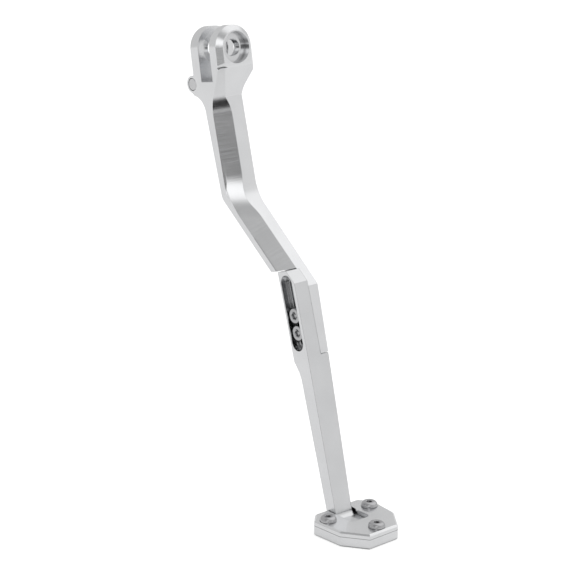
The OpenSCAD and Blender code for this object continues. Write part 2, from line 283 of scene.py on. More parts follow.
class Graph:
    """A node tree that is being wired."""

    def __init__(self, tree: bpy.types.NodeTree) -> None:
        """Starts on an emptied tree.

        Args:
            tree: The tree to fill.
        """
        self.tree = tree
        tree.nodes.clear()

    def add(self, kind: str, **settings: object) -> bpy.types.Node:
        """Adds a node.

        Args:
            kind: The node's type name, without its ShaderNode prefix.
            settings: Attributes of the node, by name.

        Returns:
            The new node.
        """
        prefix = "" if kind.startswith("NodeGroup") else "ShaderNode"
        node = self.tree.nodes.new(prefix + kind)
        for name, value in settings.items():
            setattr(node, name, value)
        return node

    def feed(self, socket: bpy.types.NodeSocket, value: object) -> None:
        """Links a socket to an output, or sets its own value.

        Args:
            socket: The input that is fed.
            value: An output socket, a number or a vector.
        """
        if isinstance(value, bpy.types.NodeSocket):
            self.tree.links.new(value, socket)
        else:
            socket.default_value = value

    def math(self, operation: str, a: Number, b: Number = 0.0,
             clamp: bool = False) -> bpy.types.NodeSocket:
        """A sum, product or other arithmetic on two numbers.

        Args:
            operation: The name of the operation.
            a: The first number or output.
            b: The second number or output.
            clamp: Keeps the result from 0 to 1.

        Returns:
            The result's output.
        """
        node = self.add("Math", operation=operation, use_clamp=clamp)
        self.feed(node.inputs[0], a)
        self.feed(node.inputs[1], b)
        return node.outputs[0]

    def plus(self, a: Number, b: Number) -> bpy.types.NodeSocket:
        """One number added to another."""
        return self.math("ADD", a, b)

    def minus(self, a: Number, b: Number) -> bpy.types.NodeSocket:
        """The second number taken from the first."""
        return self.math("SUBTRACT", a, b)

    def times(self, a: Number, b: Number) -> bpy.types.NodeSocket:
        """One number multiplied by another."""
        return self.math("MULTIPLY", a, b)

    def less(self, value: Number, mask: Number, share: Number) -> bpy.types.NodeSocket:
        """A value that is smaller where a mask is 1.

        Args:
            value: The value outside the mask.
            mask: From 0 to 1.
            share: The share of the value that a full mask takes away.

        Returns:
            The result's output.
        """
        return self.times(value, self.minus(1.0, self.times(mask, share)))

    def dot(self, a: object, b: object) -> bpy.types.NodeSocket:
        """The dot product of two vectors.

        Args:
            a: The first vector or output.
            b: The second vector or output.

        Returns:
            The product's output.
        """
        node = self.add("VectorMath", operation="DOT_PRODUCT")
        self.feed(node.inputs[0], a)
        self.feed(node.inputs[1], b)
        return node.outputs["Value"]

    def ramp(self, value: Number, low: Number, high: Number, start: float = 0.0,
             end: float = 1.0) -> bpy.types.NodeSocket:
        """A smooth step from one number to another.

        Args:
            value: What is mapped.
            low: Where the step starts.
            high: Where the step ends.
            start: The result at and below low.
            end: The result at and above high.

        Returns:
            The result's output.
        """
        node = self.add("MapRange", interpolation_type="SMOOTHSTEP")
        for name, number in (("Value", value), ("From Min", low), ("From Max", high),
                             ("To Min", start), ("To Max", end)):
            self.feed(node.inputs[name], number)
        return node.outputs["Result"]

    def noise(self, coordinates: bpy.types.NodeSocket, scale: Number, detail: float,
              roughness: float = 0.5) -> bpy.types.NodeSocket:
        """Cloudy noise from 0 to 1.

        Args:
            coordinates: Where the noise is read.
            scale: Blobs in a metre.
            detail: How many finer layers it has.
            roughness: How strong the finer layers are.

        Returns:
            The noise's output.
        """
        node = self.add("TexNoise", noise_dimensions="3D")
        self.feed(node.inputs["Vector"], coordinates)
        self.feed(node.inputs["Scale"], scale)
        node.inputs["Detail"].default_value = detail
        node.inputs["Roughness"].default_value = roughness
        return node.outputs["Fac"]


class Effect(Enum):
    """The surface effects that several materials share."""

    EDGE_BREAK = "edge_break"
    BLAST_GRAIN = "blast_grain"
    BRUSH_LINES = "brush_lines"
    FACING_MASK = "facing_mask"
    HANDLING = "handling_marks"
    CREVICE_SHADE = "crevice_shade"
    TURNED = "turned_bore"
    JOINT_LINE = "joint_line"


class EffectShelf:
    """Builds each shared effect once, as a node group, and places it."""

    def __init__(self) -> None:
        """Starts with no group built."""
        self.built: dict[Effect, bpy.types.NodeTree] = {}
        self.makers: dict[Effect, Callable[[bpy.types.NodeTree], None]] = {
            Effect.EDGE_BREAK: self.make_edge_break,
            Effect.BLAST_GRAIN: self.make_blast_grain,
            Effect.BRUSH_LINES: self.make_brush_lines,
            Effect.FACING_MASK: self.make_facing_mask,
            Effect.HANDLING: self.make_handling,
            Effect.CREVICE_SHADE: self.make_crevice_shade,
            Effect.TURNED: self.make_turned,
            Effect.JOINT_LINE: self.make_joint_line,
        }

    def place(self, graph: Graph, effect: Effect, **inputs: object) -> bpy.types.Node:
        """Places an effect in a material.

        Args:
            graph: The material's tree.
            effect: Which effect.
            inputs: The group's input values or outputs that feed them, by name.

        Returns:
            The group node.
        """
        if effect not in self.built:
            tree = bpy.data.node_groups.new(effect.value, "ShaderNodeTree")
            self.makers[effect](tree)
            self.built[effect] = tree
        node = graph.add("Group", node_tree=self.built[effect])
        for name, value in inputs.items():
            graph.feed(node.inputs[name.replace("_", " ").title()], value)
        return node

    @staticmethod
    def open_group(tree: bpy.types.NodeTree, inputs: Sequence[tuple[str, str]],
                   outputs: Sequence[tuple[str, str]]
                   ) -> tuple[Graph, bpy.types.Node, bpy.types.Node]:
        """Gives a group its sockets.

        Args:
            tree: The group's tree.
            inputs: Name and kind of each input.
            outputs: Name and kind of each output.

        Returns:
            The graph, its input node and its output node.
        """
        for name, kind in inputs:
            tree.interface.new_socket(name, in_out="INPUT",
                                      socket_type=f"NodeSocket{kind}")
        for name, kind in outputs:
            tree.interface.new_socket(name, in_out="OUTPUT",
                                      socket_type=f"NodeSocket{kind}")
        graph = Graph(tree)
        return graph, graph.add("NodeGroupInput"), graph.add("NodeGroupOutput")

    def make_edge_break(self, tree: bpy.types.NodeTree) -> None:
        """A small round on every edge, and a mask that is 1 on it.

        Args:
            tree: The group's tree.
        """
        flat, rounded = 0.995, 0.90
        graph, given, result = self.open_group(
            tree, [("Radius", "Float")], [("Normal", "Vector"), ("Edge", "Float")])
        bevel = graph.add("Bevel", samples=6)
        graph.feed(bevel.inputs["Radius"], given.outputs["Radius"])
        surface = graph.add("NewGeometry")
        facing = graph.dot(bevel.outputs["Normal"], surface.outputs["True Normal"])
        graph.feed(result.inputs["Normal"], bevel.outputs["Normal"])
        graph.feed(result.inputs["Edge"], graph.ramp(facing, flat, rounded))

    def make_blast_grain(self, tree: bpy.types.NodeTree) -> None:
        """The fine dimples that bead blasting leaves, and broad clouds of tone.

        Args:
            tree: The group's tree.
        """
        cloud_scale, fine_share = 0.02, 0.4
        graph, given, result = self.open_group(
            tree, [("Grain", "Float")], [("Height", "Float"), ("Tone", "Float")])
        place = graph.add("TexCoord").outputs["Object"]
        per_metre = graph.math("DIVIDE", 1.0, given.outputs["Grain"])
        fine = graph.noise(place, per_metre, 2.0, 0.6)
        broad = graph.noise(place, graph.times(per_metre, cloud_scale), 2.0)
        graph.feed(result.inputs["Height"], fine)
        graph.feed(result.inputs["Tone"], graph.plus(
            graph.times(fine, fine_share), graph.times(broad, 1 - fine_share)))

    def make_brush_lines(self, tree: bpy.types.NodeTree) -> None:
        """Fine lines along a direction, as a belt or a cutter leaves them.

        Args:
            tree: The group's tree.
        """
        graph, given, result = self.open_group(
            tree, [("Along", "Vector"), ("Across", "Vector"), ("Line", "Float"),
                   ("Stretch", "Float")],
            [("Height", "Float"), ("Tone", "Float")])
        place = graph.add("TexCoord").outputs["Object"]
        fine = graph.math("DIVIDE", 1.0, given.outputs["Line"])
        coarse = graph.math("DIVIDE", fine, given.outputs["Stretch"])
        spread = graph.add("CombineXYZ")
        graph.feed(spread.inputs["X"], graph.times(
            graph.dot(place, given.outputs["Along"]), coarse))
        graph.feed(spread.inputs["Y"], graph.times(
            graph.dot(place, given.outputs["Across"]), fine))
        lines = graph.noise(spread.outputs["Vector"], 1.0, 3.0, 0.75)
        graph.feed(result.inputs["Height"], lines)
        graph.feed(result.inputs["Tone"], graph.ramp(lines, 0.3, 0.7))

    def make_facing_mask(self, tree: bpy.types.NodeTree) -> None:
        """1 on faces that look along a direction of the piece, and 0 elsewhere.

        Args:
            tree: The group's tree.
        """
        graph, given, result = self.open_group(
            tree, [("Direction", "Vector"), ("Low", "Float"), ("High", "Float")],
            [("Mask", "Float")])
        normal = graph.add("TexCoord").outputs["Normal"]
        facing = graph.dot(normal, given.outputs["Direction"])
        graph.feed(result.inputs["Mask"], graph.ramp(
            facing, given.outputs["Low"], given.outputs["High"]))

    def make_handling(self, tree: bpy.types.NodeTree) -> None:
        """Faint smudges from handling.

        Args:
            tree: The group's tree.
        """
        graph, given, result = self.open_group(
            tree, [("Patch", "Float")], [("Smudge", "Float")])
        place = graph.add("TexCoord").outputs["Object"]
        per_metre = graph.math("DIVIDE", 1.0, given.outputs["Patch"])
        cloud = graph.noise(place, per_metre, 3.0, 0.55)
        graph.feed(result.inputs["Smudge"], graph.ramp(cloud, 0.45, 0.75))

    def make_crevice_shade(self, tree: bpy.types.NodeTree) -> None:
        """1 deep in gaps and corners, and 0 in the open: the mask where shade is painted
        into the colour.

        Args:
            tree: The group's tree.
        """
        graph, given, result = self.open_group(
            tree, [("Reach", "Float"), ("Start", "Float"), ("Full", "Float")],
            [("Depth", "Float")])
        open_sky = graph.add("AmbientOcclusion", samples=8)
        graph.feed(open_sky.inputs["Distance"], given.outputs["Reach"])
        graph.feed(result.inputs["Depth"], graph.ramp(
            open_sky.outputs["AO"], given.outputs["Start"], given.outputs["Full"]))

    def make_joint_line(self, tree: bpy.types.NodeTree) -> None:
        """1 in the thin dark line where two parts meet, on the plane of the joint.

        Args:
            tree: The group's tree.
        """
        full_share = 0.4
        graph, given, result = self.open_group(
            tree, [("Axis", "Vector"), ("At", "Float"), ("Half Width", "Float")],
            [("Line", "Float")])
        place = graph.add("TexCoord").outputs["Object"]
        off = graph.math("ABSOLUTE", graph.minus(
            graph.dot(place, given.outputs["Axis"]), given.outputs["At"]))
        half = given.outputs["Half Width"]
        graph.feed(result.inputs["Line"], graph.ramp(
            off, half, graph.times(half, full_share)))

    def make_turned(self, tree: bpy.types.NodeTree) -> None:
        """The smooth wall and fine rings of a hole turned about the pivot.

        Args:
            tree: The group's tree.
        """
        soft_rim = 1.02
        graph, given, result = self.open_group(
            tree, [("Axis", "Vector"), ("Radius", "Float"), ("Pitch", "Float")],
            [("Mask", "Float"), ("Ring", "Float")])
        place = graph.add("TexCoord").outputs["Object"]
        along = graph.dot(place, given.outputs["Axis"])
        square = graph.minus(graph.dot(place, place), graph.times(along, along))
        reach = graph.math("SQRT", graph.math("MAXIMUM", square, 0.0))
        radius = given.outputs["Radius"]
        graph.feed(result.inputs["Mask"], graph.ramp(
            reach, graph.times(radius, soft_rim), radius))
        turns = graph.math("DIVIDE", graph.plus(reach, along), given.outputs["Pitch"])
        graph.feed(result.inputs["Ring"], graph.math("PINGPONG", turns, 0.5))


SHELF = EffectShelf()


@dataclass(frozen=True)
class BrushedFace:
    """Faces that carry brush lines, and how those lines run."""

    looks: Vector
    along: Vector
    across: Vector
    line: float
    strength: float
    # Painted light and shade: this tone offset darkens the whole face, and lightens it
    # when negative.
    darker: float = 0.0
    stretch: float = 60.0
    faces_low: float = 0.985
    faces_high: float = 0.999
    rougher: float = 0.05
    groove_share: float = 0.5


@dataclass(frozen=True)
class JointLine:
    """A joint whose thin dark line shows: its plane and the line's half width."""

    axis: Vector
    at: float
    half_width: float = 0.22 * MM
    darker: float = 0.62


@dataclass(frozen=True)
class TurnedBore:
    """The turned wall of a hole about the pivot."""

    axis: Vector
    radius: float
    pitch: float = 0.4 * MM
    smoother: float = 0.10
    ring_middle: float = 0.55
    ring_strength: float = 0.35


@dataclass
class Look:
    """The tone, roughness and height of a surface while it is put together."""

    tone: Number
    rough: Number
    height: Number


@dataclass(frozen=True)
class MetalFinish:
    """A bare metal: its tint and grain, its broken edges with a painted highlight, and
    painted shade in its gaps.
    """

    name: str
    tint: Colour
    roughness: float
    grain: float
    grain_height: float
    grain_strength: float
    tone_low: float
    tone_high: float
    smudge_patch: float
    smudge_rougher: float
    edge_radius: float
    # Painted highlight: this gain lightens the colour on broken edges; below zero it
    # paints shade there.
    edge_painted_light: float
    edge_smoother: float
    # Painted shade: these crevice fields set how far and how strongly the colour is
    # darkened in gaps and corners.
    crevice_reach: float
    crevice_start: float
    crevice_full: float
    crevice_shade_share: float

    def brush(self, graph: Graph, look: Look) -> None:
        """Adds brush lines, which a plain metal lacks."""

    def mark(self, graph: Graph, look: Look) -> None:
        """Adds turned rings and joint lines, which a plain metal lacks."""

    def make(self) -> bpy.types.Material:
        """Builds the material.

        Returns:
            The material.
        """
        material = bpy.data.materials.new(self.name)
        material.use_nodes = True
        graph = Graph(material.node_tree)
        edge = SHELF.place(graph, Effect.EDGE_BREAK, radius=self.edge_radius)
        grain = SHELF.place(graph, Effect.BLAST_GRAIN, grain=self.grain)
        marks = SHELF.place(graph, Effect.HANDLING, patch=self.smudge_patch)
        look = Look(
            tone=graph.ramp(grain.outputs["Tone"], 0.3, 0.7,
                            self.tone_low, self.tone_high),
            rough=graph.plus(self.roughness, graph.times(
                marks.outputs["Smudge"], self.smudge_rougher)),
            height=grain.outputs["Height"])
        self.brush(graph, look)
        # Painted highlight on the broken edges: their colour is lightened, and darkened
        # where the gain is below zero.
        broken = edge.outputs["Edge"]
        look.tone = graph.plus(look.tone, graph.times(broken, self.edge_painted_light))
        look.rough = graph.minus(look.rough, graph.times(broken, self.edge_smoother))
        self.mark(graph, look)
        # Painted shade: the colour is darkened deep in gaps, corners and sockets, by
        # ambient occlusion.
        shade = SHELF.place(graph, Effect.CREVICE_SHADE, reach=self.crevice_reach,
                            start=self.crevice_start, full=self.crevice_full)
        look.tone = graph.less(look.tone, shade.outputs["Depth"], self.crevice_shade_share)
        self.shade_surface(graph, look, edge.outputs["Normal"])
        return material

    def shade_surface(self, graph: Graph, look: Look,
                      normal: bpy.types.NodeSocket) -> None:
        """Gives the metal's shader its tint, gloss and bump.

        Args:
            graph: The material's tree.
            look: The finished tone, roughness and height.
            normal: The surface's normal, with its broken edges.
        """
        tinted = graph.add("VectorMath", operation="SCALE")
        graph.feed(tinted.inputs[0], self.tint)
        graph.feed(tinted.inputs["Scale"], look.tone)
        bump = graph.add("Bump")
        bump.inputs["Distance"].default_value = self.grain_height
        bump.inputs["Strength"].default_value = self.grain_strength
        graph.feed(bump.inputs["Height"], look.height)
        graph.feed(bump.inputs["Normal"], normal)
        shader = graph.add("BsdfPrincipled")
        shader.inputs["Metallic"].default_value = 1.0
        graph.feed(shader.inputs["Base Color"], tinted.outputs["Vector"])
        graph.feed(shader.inputs["Roughness"], look.rough)
        graph.feed(shader.inputs["Normal"], bump.outputs["Normal"])
        output = graph.add("OutputMaterial")
        graph.feed(output.inputs["Surface"], shader.outputs["BSDF"])


@dataclass(frozen=True)
class AluminiumFinish(MetalFinish):
    """Machined and fine blasted aluminium."""

    tint: Colour = (0.80, 0.805, 0.815)
    roughness: float = 0.19
    grain: float = 0.35 * MM
    grain_height: float = 0.004 * MM
    grain_strength: float = 0.6
    tone_low: float = 0.97
    tone_high: float = 1.03
    smudge_patch: float = 14 * MM
    smudge_rougher: float = 0.03
    edge_radius: float = 0.30 * MM
    # Painted highlight on the edges, and painted shade darkening gaps and corners with the
    # crevice fields below.
    edge_painted_light: float = 0.10
    edge_smoother: float = 0.05
    crevice_reach: float = 5 * MM
    crevice_start: float = 0.70
    crevice_full: float = 0.24
    crevice_shade_share: float = 0.72
    brushed: tuple[BrushedFace, ...] = ()
    bores: tuple[TurnedBore, ...] = ()
    joints: tuple[JointLine, ...] = ()

    def brush(self, graph: Graph, look: Look) -> None:
        """Adds the brush lines of the brushed faces.

        Args:
            graph: The material's tree.
            look: The look that the lines change.
        """
        for face in self.brushed:
            mask = SHELF.place(graph, Effect.FACING_MASK, direction=face.looks,
                               low=face.faces_low, high=face.faces_high).outputs["Mask"]
            lines = SHELF.place(graph, Effect.BRUSH_LINES, along=face.along,
                                across=face.across, line=face.line,
                                stretch=face.stretch)
            tone, groove = lines.outputs["Tone"], lines.outputs["Height"]
            # The face's offset paints light or shade on it as a whole, by the way it
            # faces.
            swing = graph.minus(graph.times(graph.minus(tone, 0.5), face.strength),
                                face.darker)
            look.tone = graph.plus(look.tone, graph.times(swing, mask))
            look.rough = graph.plus(look.rough, graph.times(
                mask, graph.times(tone, face.rougher)))
            look.height = graph.plus(look.height, graph.times(
                mask, graph.times(groove, face.groove_share)))

    def mark(self, graph: Graph, look: Look) -> None:
        """Adds the rings of turned bores and the dark lines of joints.

        Args:
            graph: The material's tree.
            look: The look that they change.
        """
        for bore in self.bores:
            turned = SHELF.place(graph, Effect.TURNED, radius=bore.radius,
                                 axis=bore.axis, pitch=bore.pitch)
            wall = turned.outputs["Mask"]
            look.rough = graph.minus(look.rough, graph.times(wall, bore.smoother))
            ring = graph.minus(turned.outputs["Ring"], bore.ring_middle)
            look.tone = graph.plus(look.tone, graph.times(
                graph.times(ring, bore.ring_strength), wall))
        for joint in self.joints:
            line = SHELF.place(graph, Effect.JOINT_LINE, axis=joint.axis, at=joint.at,
                               half_width=joint.half_width).outputs["Line"]
            look.tone = graph.less(look.tone, line, joint.darker)


@dataclass(frozen=True)
class SteelFinish(MetalFinish):
    """Bright steel, turned or plated, with soft handling marks."""

    tint: Colour = (0.50, 0.50, 0.51)
    roughness: float = 0.10
    grain: float = 0.12 * MM
    grain_height: float = 0.002 * MM
    grain_strength: float = 0.5
    tone_low: float = 0.94
    tone_high: float = 1.04
    smudge_patch: float = 4 * MM
    smudge_rougher: float = 0.08
    edge_radius: float = 0.15 * MM
    # Painted highlight on the screws' edges, and painted shade darkening their sockets and
    # gaps.
    edge_painted_light: float = 0.25
    edge_smoother: float = 0.0
    crevice_reach: float = 2.5 * MM
    crevice_start: float = 0.60
    crevice_full: float = 0.25
    crevice_shade_share: float = 0.93


def dress_node(name: str, material: bpy.types.Material) -> None:
    """Gives a solid of the frame its finish.

    Args:
        name: The node's name.
        material: The material for all of its slots.
    """
    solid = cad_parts[name]
    if not solid.material_slots:
        solid.data.materials.append(material)
    for slot in solid.material_slots:
        slot.material = material
    LOG.info("%s dressed in %s", name, material.name)


@dataclass(frozen=True)
class Stretch:
    """A stretch of the leg's right edge: where it runs and its big chamfer."""

    at: Vector
    lean: float
    chamfer_w: float
    chamfer_d: float

    def looks(self) -> Vector:
        """The direction that the chamfer looks in."""
        return (self.chamfer_d * lean_right(self.lean)
                + self.chamfer_w * Facing.FRONT.axis()).normalized()

    def on_chamfer(self, front_y: float) -> Vector:
        """A point where the chamfer meets the leg's side."""
        return self.at + backwards(front_y + self.chamfer_d)

    def cross(self, other: "Stretch") -> Vector:
        """Where this stretch's side crosses another's.

        Args:
            other: The other stretch.

        Returns:
            The point, in the X-Z plane.
        """
        square = lean_right(other.lean)
        down = lean_down(self.lean)
        return self.at + (other.at - self.at).dot(square) / down.dot(square) * down


@dataclass(frozen=True)
class BendReach:
    """How far a cut or a filling reaches along the leg from the bend's corner."""

    above: float
    below: float


@dataclass(frozen=True)
class RampStock:
    """The stock that is added at the ear's foot, for the ramp to be cut from.

    It runs above and below the top of the leg's side, reaches in from that side,
    and follows the near wall of the clevis gap without entering it.
    """

    above: float = 9 * MM
    below: float = 12 * MM
    side_in: float = 8.2 * MM
    foot_in: float = 7.8 * MM
    gap_side: float = 5.32 * MM
    gap_top: float = 10.5 * MM
    gap_foot: float = 18.4 * MM
    overlap: float = 0.2 * MM
    low_depth: float = 9.2 * MM
    top_depth: float = 6.4 * MM


@dataclass(frozen=True)
class EarChamfer:
    """The cut along the front edge of the bolt ear."""

    side: float = 14.2 * MM
    width: float = 3 * MM
    overrun: float = 2 * MM
    out: float = 5 * MM
    ahead: float = 4 * MM
    below: float = 30 * MM
    run: float = 29 * MM


@dataclass
class UpperLeg:
    """The upper leg: clevis, bar with its big chamfer, and tongue.

    Its solid gets the ear's higher shoulder, the slimmer slanting bar and the
    long blend of the big chamfer round the bend.  Leans are degrees away from
    upright.  The tools of the cuts start ahead of the front face, reach clear of
    the leg's sides, and stay a skin's thickness off the faces that are kept.
    """

    front_y: float = -12.8 * MM
    clevis_lean: float = 9.7
    upper_lean: float = 14.2
    slant_lean: float = 52.7
    ear_corner: Vector = Vector((15.77, 0.0, -7.96)) * MM
    side_top: Vector = Vector((12.6, 0.0, -25.4)) * MM
    shoulder: Vector = Vector((59.58, 0.0, -116.7)) * MM
    slant_w: float = 8.8 * MM
    upper_chamfer: tuple[float, float] = (7 * MM, 8.5 * MM)
    slant_chamfer: tuple[float, float] = (5 * MM, 9.5 * MM)
    side_bend_r: float = 24 * MM
    chamfer_bend_r: float = 46 * MM
    ramp_drop: float = 4 * MM
    ramp_angle: float = 24.0
    ramp_r: float = 29 * MM
    ramp_reach: BendReach = BendReach(26 * MM, 14 * MM)
    ramp_half_width: float = 30 * MM
    slim_reach: BendReach = BendReach(22 * MM, 75 * MM)
    fill_reach: BendReach = BendReach(20 * MM, 26 * MM)
    cut_reach: BendReach = BendReach(26 * MM, 75 * MM)
    cut_half_width: float = 60 * MM
    fill_in: float = 6 * MM
    fill_depth: float = 12 * MM
    ramp_stock: RampStock = RampStock()
    ear_chamfer: EarChamfer = EarChamfer()
    trim_above: float = 5 * MM
    trim_out_top: Vector = Vector((12, 0, 4)) * MM
    trim_out_low: Vector = Vector((14, 0, 4)) * MM
    ahead: float = 2 * MM
    clear: float = 25 * MM
    stock_depth: float = 40 * MM
    skin: float = 0.02 * MM
    sharp: float = 22.0
    bore_radius: float = 9.2 * MM
    brush_line: float = 0.75 * MM
    upper_brush: float = 0.13
    slant_brush: float = 0.04

    def stretches(self) -> tuple[Stretch, Stretch]:
        """The straight stretches above and below the bend.

        Returns:
            The upper and the slanting stretch.
        """
        upper = Stretch(self.side_top, self.upper_lean, *self.upper_chamfer)
        side = self.shoulder + self.slant_w * lean_right(self.slant_lean)
        return upper, Stretch(side, self.slant_lean, *self.slant_chamfer)

    def side_bend(self, reach: BendReach) -> list[Vector]:
        """The line of the leg's side, down to the bend, round it and on.

        Args:
            reach: How far the line goes above and below the bend.

        Returns:
            The line's points.
        """
        upper, slant = self.stretches()
        corner = upper.cross(slant)
        return bent_path(corner - reach.above * lean_down(upper.lean), corner,
                         corner + reach.below * lean_down(slant.lean),
                         self.side_bend_r)

    def trim_ear(self, leg: Solid) -> None:
        """Raises the corner where the bolt ear turns in to the bar.

        Args:
            leg: The leg.
        """
        up = (self.ear_corner - self.side_top).normalized()
        ring = [self.side_top, self.ear_corner + self.trim_above * up,
                self.ear_corner + self.trim_out_top, self.side_top + self.trim_out_low]
        leg.work(Operation.CUT, ring, backwards(self.front_y - self.ahead),
                 backwards(self.stock_depth))

    def fill_ramp(self, leg: Solid) -> None:
        """Gives the ear's foot full stock again, for the ramp to be cut from.

        Args:
            leg: The leg.
        """
        stock, side = self.ramp_stock, self.side_top
        up = (self.ear_corner - side).normalized()
        out = lean_right(self.upper_lean)
        gap_side = stock.gap_side * lean_right(self.clevis_lean)
        gap_top, gap_foot = (gap_side + height * lean_down(self.clevis_lean)
                             for height in (stock.gap_top, stock.gap_foot))
        foot = side + stock.below * lean_down(self.upper_lean)
        middle = side + stock.above * up
        low = [middle, side, foot, foot - stock.foot_in * out,
               side - stock.side_in * out, gap_foot]
        top = [self.ear_corner, middle - stock.overlap * up, gap_foot, gap_top]
        start = backwards(self.front_y + self.skin) - self.skin * out
        for ring, depth in ((low, stock.low_depth), (top, stock.top_depth)):
            leg.work(Operation.FILL, ring, start, backwards(depth))

    def cut_ramp(self, leg: Solid) -> None:
        """Cuts the ramp that the big chamfer climbs to the ear by.

        Args:
            leg: The leg.
        """
        upper = self.stretches()[0]
        looks, up = upper.looks(), -lean_down(upper.lean)
        crease = upper.on_chamfer(self.front_y) - self.ramp_drop * up \
            + self.skin * looks
        turn = math.radians(self.ramp_angle)
        climb = math.cos(turn) * up + math.sin(turn) * looks
        path = bent_path(crease + self.ramp_reach.above * climb, crease,
                         crease - self.ramp_reach.below * up, self.ramp_r)
        ring = [*path, path[-1] + self.clear * looks, path[0] + self.clear * looks]
        half = self.ramp_half_width * looks.cross(up)
        leg.work(Operation.CUT, ring, -half, 2 * half)

    def cut_ear_chamfer(self, leg: Solid) -> None:
        """Cuts the chamfer on the front edge of the bolt ear again.

        Args:
            leg: The leg.
        """
        cut = self.ear_chamfer
        across, up = lean_right(self.clevis_lean), -lean_down(self.clevis_lean)
        edge = cut.side * across + backwards(self.front_y)
        slope = (backwards(cut.width) + cut.width * across).normalized()
        skin = self.skin * Facing.FRONT.axis()
        on_front = edge - cut.width * across - cut.overrun * slope + skin
        on_side = edge + backwards(cut.width) + cut.overrun * slope + skin
        ring = [on_front, on_side, on_side + cut.out * across,
                edge + cut.out * (across - slope) - backwards(cut.ahead),
                on_front - backwards(cut.ahead)]
        leg.work(Operation.CUT, ring, -cut.below * up, cut.run * up)

    def slim_slant(self, leg: Solid) -> None:
        """Takes the slanting bar's side back, round the bend to the tongue.

        Args:
            leg: The leg.
        """
        path = self.side_bend(self.slim_reach)
        out_up, out_low = lean_right(self.upper_lean), lean_right(self.slant_lean)
        ring = [*path, path[-1] + self.clear * out_low, path[0] + self.clear * out_up]
        leg.work(Operation.CUT, ring,
                 backwards(self.front_y - self.ahead) + self.skin * out_up,
                 backwards(self.stock_depth))

    def fill_bend(self, leg: Solid) -> None:
        """Gives the bend full stock again, for the long blend to be cut from.

        Args:
            leg: The leg.
        """
        upper, slant = self.stretches()
        path = self.side_bend(self.fill_reach)
        out_up, out_low = lean_right(upper.lean), lean_right(slant.lean)
        ring = [*path, path[-1] - self.fill_in * out_low,
                upper.cross(slant) - self.fill_in * (out_up + out_low).normalized(),
                path[0] - self.fill_in * out_up]
        leg.work(Operation.FILL, ring,
                 backwards(self.front_y + self.skin) - self.skin * out_up,
                 backwards(self.fill_depth))

    def cut_chamfer(self, leg: Solid) -> None:
        """Cuts the big chamfer round the bend and down the slanting bar.

        Args:
            leg: The leg.
        """
        upper, slant = self.stretches()
        crease = upper.looks().cross(slant.looks()).normalized()
        planes = Matrix((upper.looks(), slant.looks(), crease))
        corner = planes.inverted() @ Vector((
            upper.looks().dot(upper.on_chamfer(self.front_y)) + self.skin,
            slant.looks().dot(slant.on_chamfer(self.front_y)),
            crease.dot(upper.cross(slant) + backwards(self.front_y))))
        up = crease.cross(upper.looks())
        up *= math.copysign(1.0, up.z)
        down = crease.cross(slant.looks())
        down *= -math.copysign(1.0, down.z)
        path = bent_path(corner + self.cut_reach.above * up, corner,
                         corner + self.cut_reach.below * down, self.chamfer_bend_r)
        ring = [*path, path[-1] + self.clear * slant.looks(),
                path[0] + self.clear * upper.looks()]
        half = self.cut_half_width * crease
        leg.work(Operation.CUT, ring, -half, 2 * half)

    def chamfer_brush(self, stretch: Stretch, strength: float) -> BrushedFace:
        """Brush lines across one stretch of the big chamfer.

        Args:
            stretch: The stretch of the leg.
            strength: How far the lines swing the tone.

        Returns:
            The brushed face.
        """
        looks, down = stretch.looks(), lean_down(stretch.lean)
        return BrushedFace(looks=looks, along=looks.cross(down), across=down,
                           line=self.brush_line, strength=strength)

    def finish(self) -> AluminiumFinish:
        """The leg's aluminium, brushed on the big chamfer and turned in the bore.

        Returns:
            The finish.
        """
        upper, slant = self.stretches()
        return AluminiumFinish(
            "leg_satin_aluminium",
            brushed=(self.chamfer_brush(upper, self.upper_brush),
                     self.chamfer_brush(slant, self.slant_brush)),
            bores=(TurnedBore(lean_right(self.clevis_lean), self.bore_radius),))

    def build(self) -> None:
        """Shapes and dresses the leg."""
        leg = Solid("upper_leg_finished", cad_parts["upper_leg"].data)
        for step in (self.trim_ear, self.fill_ramp, self.cut_ramp,
                     self.cut_ear_chamfer, self.slim_slant, self.fill_bend,
                     self.cut_chamfer):
            step(leg)
        piece = leg.settle(self.sharp)
        piece.data.materials.clear()
        piece.data.materials.append(self.finish().make())
        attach(piece, Body.UPPER.value)
        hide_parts("upper_leg")
        LOG.info("upper leg shaped, %d faces", len(piece.data.polygons))


@dataclass
class SpringPost:
    """The post that the return spring hooks on."""

    tint: Colour = (0.66, 0.66, 0.67)
    roughness: float = 0.24

    def dress(self) -> None:
        """Dresses the post."""
        finish = SteelFinish("post_ground_steel", tint=self.tint,
                             roughness=self.roughness)
        dress_node("spring_post", finish.make())


@dataclass
class LowerLeg:
    """The lower leg, with the pocket for the clamp screws and its flange."""

    lean: float = 16.5
    tint: Colour = (0.74, 0.745, 0.755)
    edge_radius: float = 0.5 * MM
    # Painted shade: the edges and the gaps are darkened in colour.
    edge_painted_light: float = -0.12
    crevice_shade_share: float = 0.85
    brush_line: float = 0.4 * MM
    brush_strength: float = 0.025
    front_painted_light: float = 0.08
    side_painted_shade: float = 0.02

    def dress(self) -> None:
        """Dresses the lower leg."""
        down, right = lean_down(self.lean), lean_right(self.lean)
        front = Facing.FRONT.axis()
        # Painted light and shade: the front faces are lightened and the side faces
        # darkened in colour.
        brushed = tuple(
            BrushedFace(looks=looks, along=down, across=across, line=self.brush_line,
                        strength=self.brush_strength, darker=darker)
            for looks, across, darker in ((front, right, -self.front_painted_light),
                                          (right, front, self.side_painted_shade)))
        finish = AluminiumFinish(
            "lower_leg_satin_aluminium", tint=self.tint, edge_radius=self.edge_radius,
            edge_painted_light=self.edge_painted_light, crevice_shade_share=self.crevice_shade_share,
            brushed=brushed)
        dress_node("lower_leg", finish.make())


